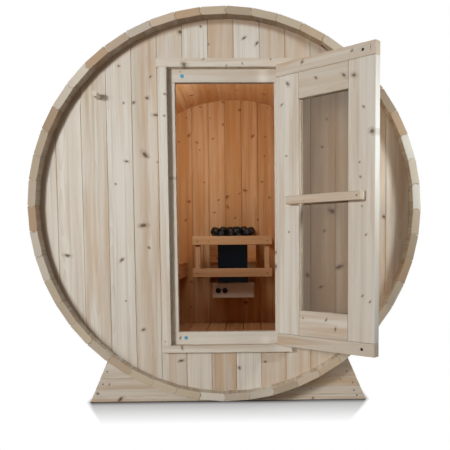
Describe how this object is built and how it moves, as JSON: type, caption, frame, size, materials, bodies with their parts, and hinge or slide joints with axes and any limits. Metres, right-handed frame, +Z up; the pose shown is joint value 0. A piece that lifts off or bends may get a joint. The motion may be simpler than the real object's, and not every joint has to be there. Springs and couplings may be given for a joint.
{
  "type": "barrel sauna",
  "caption": "Horizontal wooden barrel sauna on cradles, with a glazed hinged door, side benches and a guarded stone heater at the back.",
  "frame": {"origin": "on the ground, at the middle of the front cradle's foot", "axes": "+Z up, +Y from the door end to the back wall along the barrel, +X to the right seen from the door"},
  "size_m": [1.9118, 2.2151, 1.9459],
  "materials": {
    "stave_cedar": "bare sawn cedar, satin",
    "wall_cedar": "bare planed cedar, satin",
    "trim_cedar": "bare planed cedar, satin",
    "cabin_cedar": "warm bare cedar, satin",
    "glass": "clear tempered glass",
    "polished_steel": "polished stainless sheet",
    "box_steel": "satin stainless sheet",
    "stones": "rough dark olivine stones",
    "knob_black": "satin black",
    "band_steel": "satin stainless strap",
    "fitting_steel": "satin steel fittings",
    "catch_blue": "blue zinc plated"
  },
  "bodies": {
    "sauna": {"back_wall": "cabin_cedar", "bands": "band_steel", "bench_left_apron": "cabin_cedar", "bench_left_slats": "cabin_cedar", "bench_left_supports": "cabin_cedar", "bench_right_apron": "cabin_cedar", "bench_right_slats": "cabin_cedar", "bench_right_supports": "cabin_cedar", "control_box": "box_steel", "control_knobs": "knob_black", "cradle_front": "wall_cedar", "cradle_rear": "wall_cedar", "door_jambs": "trim_cedar", "floor_bearers": "cabin_cedar", "floor_boards": "cabin_cedar", "frame_catches": "catch_blue", "frame_head": "trim_cedar", "frame_hinges": "fitting_steel", "frame_sill": "trim_cedar", "front_wall_left": "wall_cedar", "front_wall_over_door": "wall_cedar", "front_wall_right": "wall_cedar", "front_wall_under_door": "wall_cedar", "guard_front_rails": "cabin_cedar", "guard_posts": "cabin_cedar", "guard_side_rails": "cabin_cedar", "head_casing": "trim_cedar", "heater_bracket": "fitting_steel", "heater_casing": "polished_steel", "heater_stones": "stones", "side_casings": "trim_cedar", "sill_casing": "trim_cedar", "staves_1": "stave_cedar", "staves_2": "stave_cedar", "staves_3": "stave_cedar", "staves_4": "stave_cedar", "staves_5": "stave_cedar", "staves_6": "stave_cedar", "staves_7": "stave_cedar", "staves_8": "stave_cedar", "wall_peg": "wall_cedar"},
    "door": {"door_stiles": "trim_cedar", "door_rails": "trim_cedar", "door_caps": "trim_cedar", "door_strikes": "fitting_steel", "door_glass": "glass", "door_pulls": "trim_cedar", "door_hinges": "fitting_steel"}
  },
  "joints": [
    {"name": "door_hinge", "type": "hinge", "parent": "sauna", "child": "door", "pos_m": [0.2755, -0.188, 0.99], "axis": [0, 0, 1], "range_deg": [-138, 30]}
  ]
}
